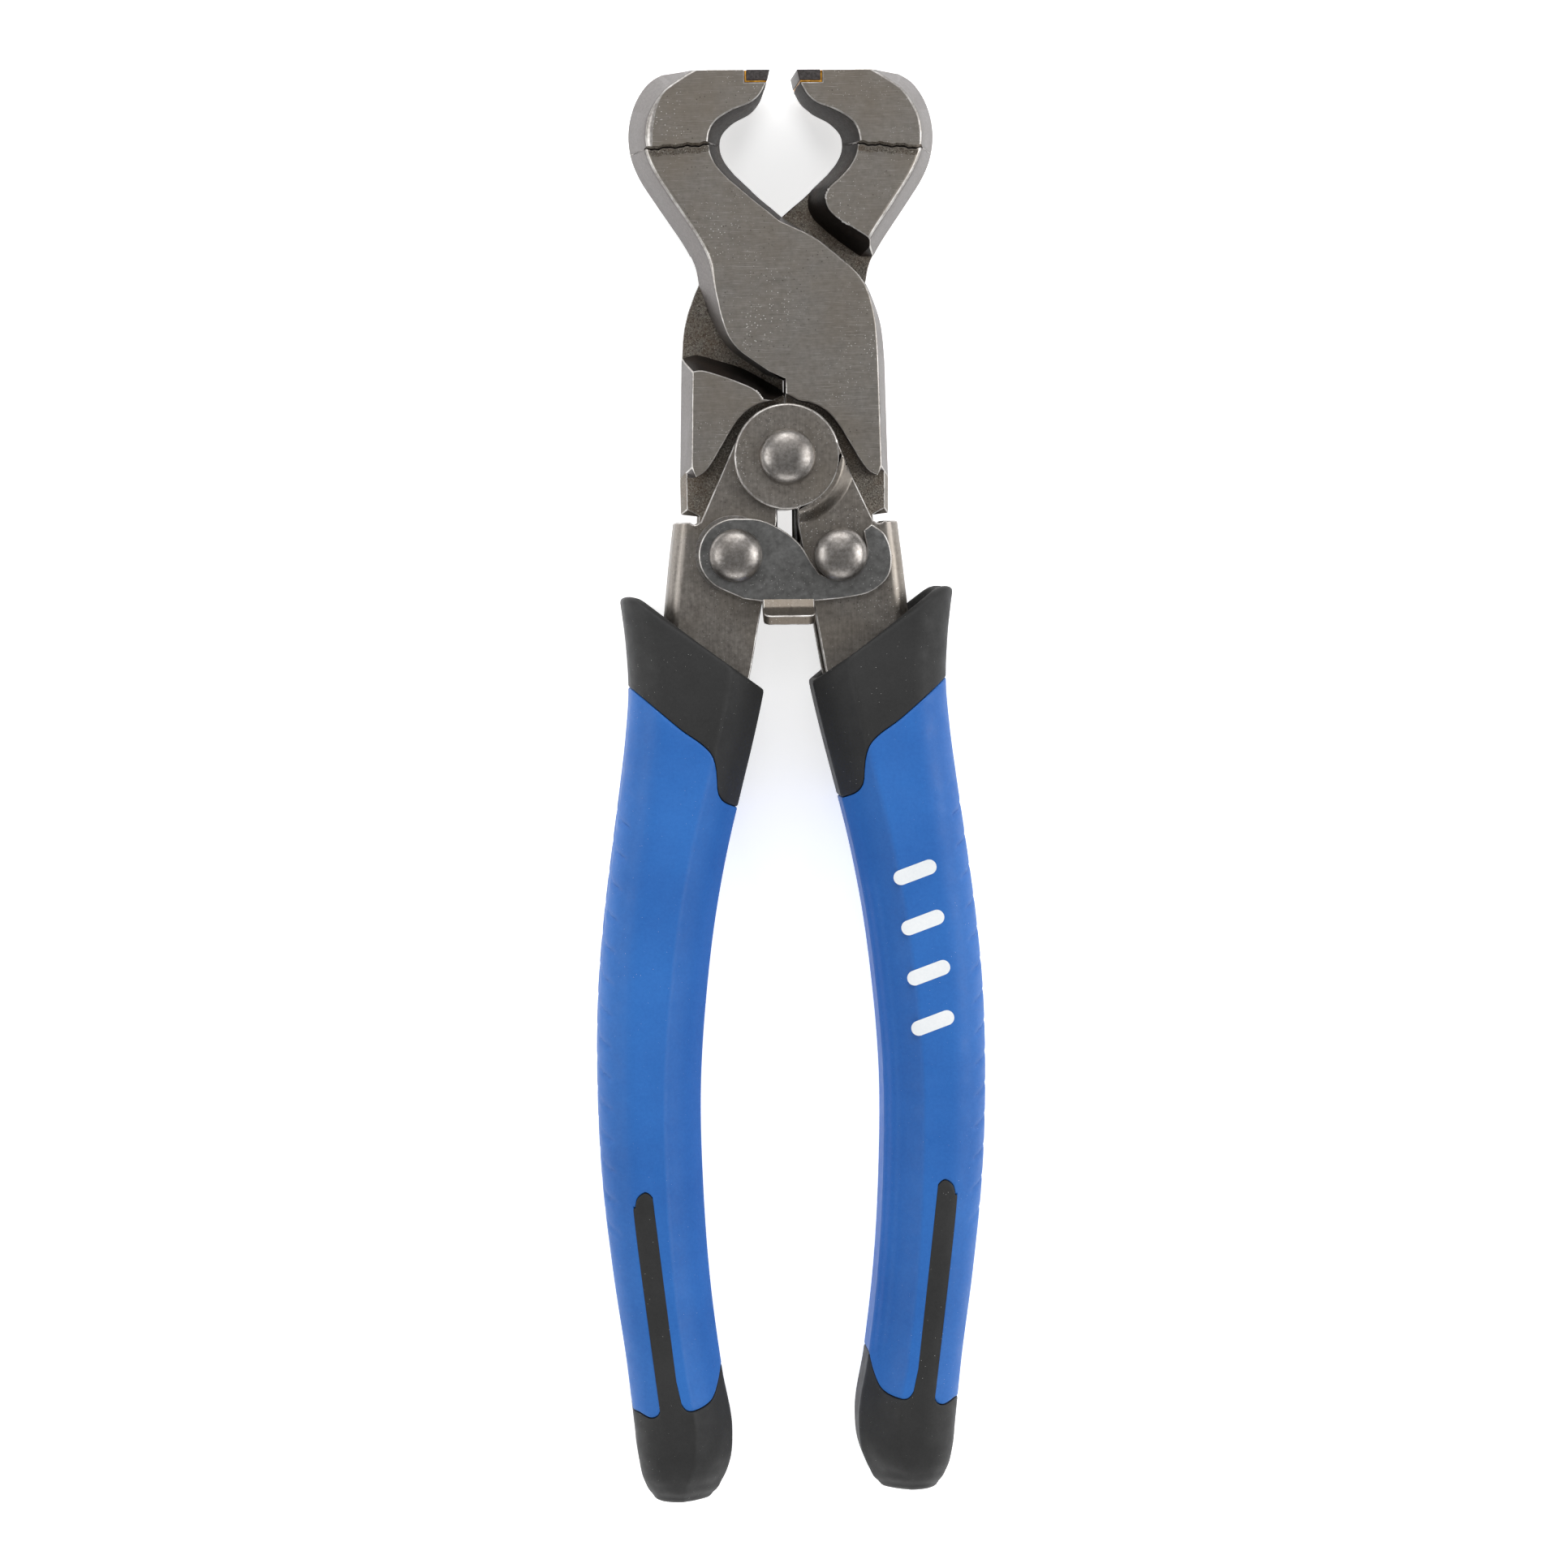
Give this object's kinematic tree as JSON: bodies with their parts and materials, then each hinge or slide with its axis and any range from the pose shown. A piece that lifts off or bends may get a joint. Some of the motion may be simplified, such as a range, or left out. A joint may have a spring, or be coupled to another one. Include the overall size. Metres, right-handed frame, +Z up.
{
  "type": "mosaic glass nippers",
  "caption": "Compound-action hand nippers with lapped steel jaws, carbide edges, riveted channel handles, a swinging lock latch and two-colour rubber grips.",
  "frame": {"origin": "middle of the tool's outline, on the plane its grips' backs lie on", "axes": "+X to the right and +Y towards the jaws as seen from the latch side, +Z up out of the latch side"},
  "size_m": [0.0572, 0.2111, 0.0221],
  "materials": {
    "jaw_steel": "forged and ground steel, satin, oiled",
    "frame_steel": "pressed sheet steel, polished on its bends",
    "rivet_steel": "domed by spinning, satin",
    "blued_steel": "blued sheet and spring steel, satin",
    "carbide": "ground tungsten carbide",
    "braze": "brass braze, heat coloured",
    "black_rubber": "matt black grip rubber",
    "blue_rubber": "satin blue overmoulded rubber"
  },
  "bodies": {
    "left_handle": {"left_handle_frame": "frame_steel", "left_grip_core": "black_rubber", "left_grip_cover": "blue_rubber", "left_jaw_rivet": "rivet_steel", "handle_pivot_rivet": "rivet_steel", "handle_pivot_bush": "rivet_steel", "opening_spring": "blued_steel", "latch_washer": "blued_steel"},
    "right_handle": {"right_handle_frame": "frame_steel", "right_grip_core": "black_rubber", "right_grip_cover": "blue_rubber", "right_jaw_rivet": "rivet_steel"},
    "rear_jaw_body": {"rear_jaw": "jaw_steel", "rear_jaw_carbide_tip": "carbide", "rear_jaw_braze": "braze"},
    "front_jaw_body": {"front_jaw": "jaw_steel", "front_jaw_carbide_tip": "carbide", "front_jaw_braze": "braze", "jaw_pivot_pin": "rivet_steel"},
    "latch": {"lock_latch": "blued_steel"}
  },
  "joints": [
    {"name": "handle_open", "type": "hinge", "parent": "left_handle", "child": "right_handle", "pos_m": [0, 0.0491, 0.0105], "axis": [0, 0, 1], "range_deg": [0, 22]},
    {"name": "rear_jaw_turn", "type": "hinge", "parent": "left_handle", "child": "rear_jaw_body", "pos_m": [-0.0077, 0.0347, 0.0105], "axis": [0, 0, 1], "range_deg": [0, 7]},
    {"name": "front_jaw_turn", "type": "hinge", "parent": "right_handle", "child": "front_jaw_body", "pos_m": [0.0077, 0.0347, 0.0105], "axis": [0, 0, 1], "range_deg": [-7, 0]},
    {"name": "latch_swing", "type": "hinge", "parent": "left_handle", "child": "latch", "pos_m": [-0.0077, 0.0347, 0.0105], "axis": [0, 0, 1], "range_deg": [-52, 0]}
  ],
  "couplings": [
    {"joint": "rear_jaw_turn", "follows": "handle_open", "ratio": 0.311},
    {"joint": "front_jaw_turn", "follows": "handle_open", "ratio": -0.311},
    {"joint": "latch_swing", "follows": "handle_open", "ratio": -2.273}
  ]
}
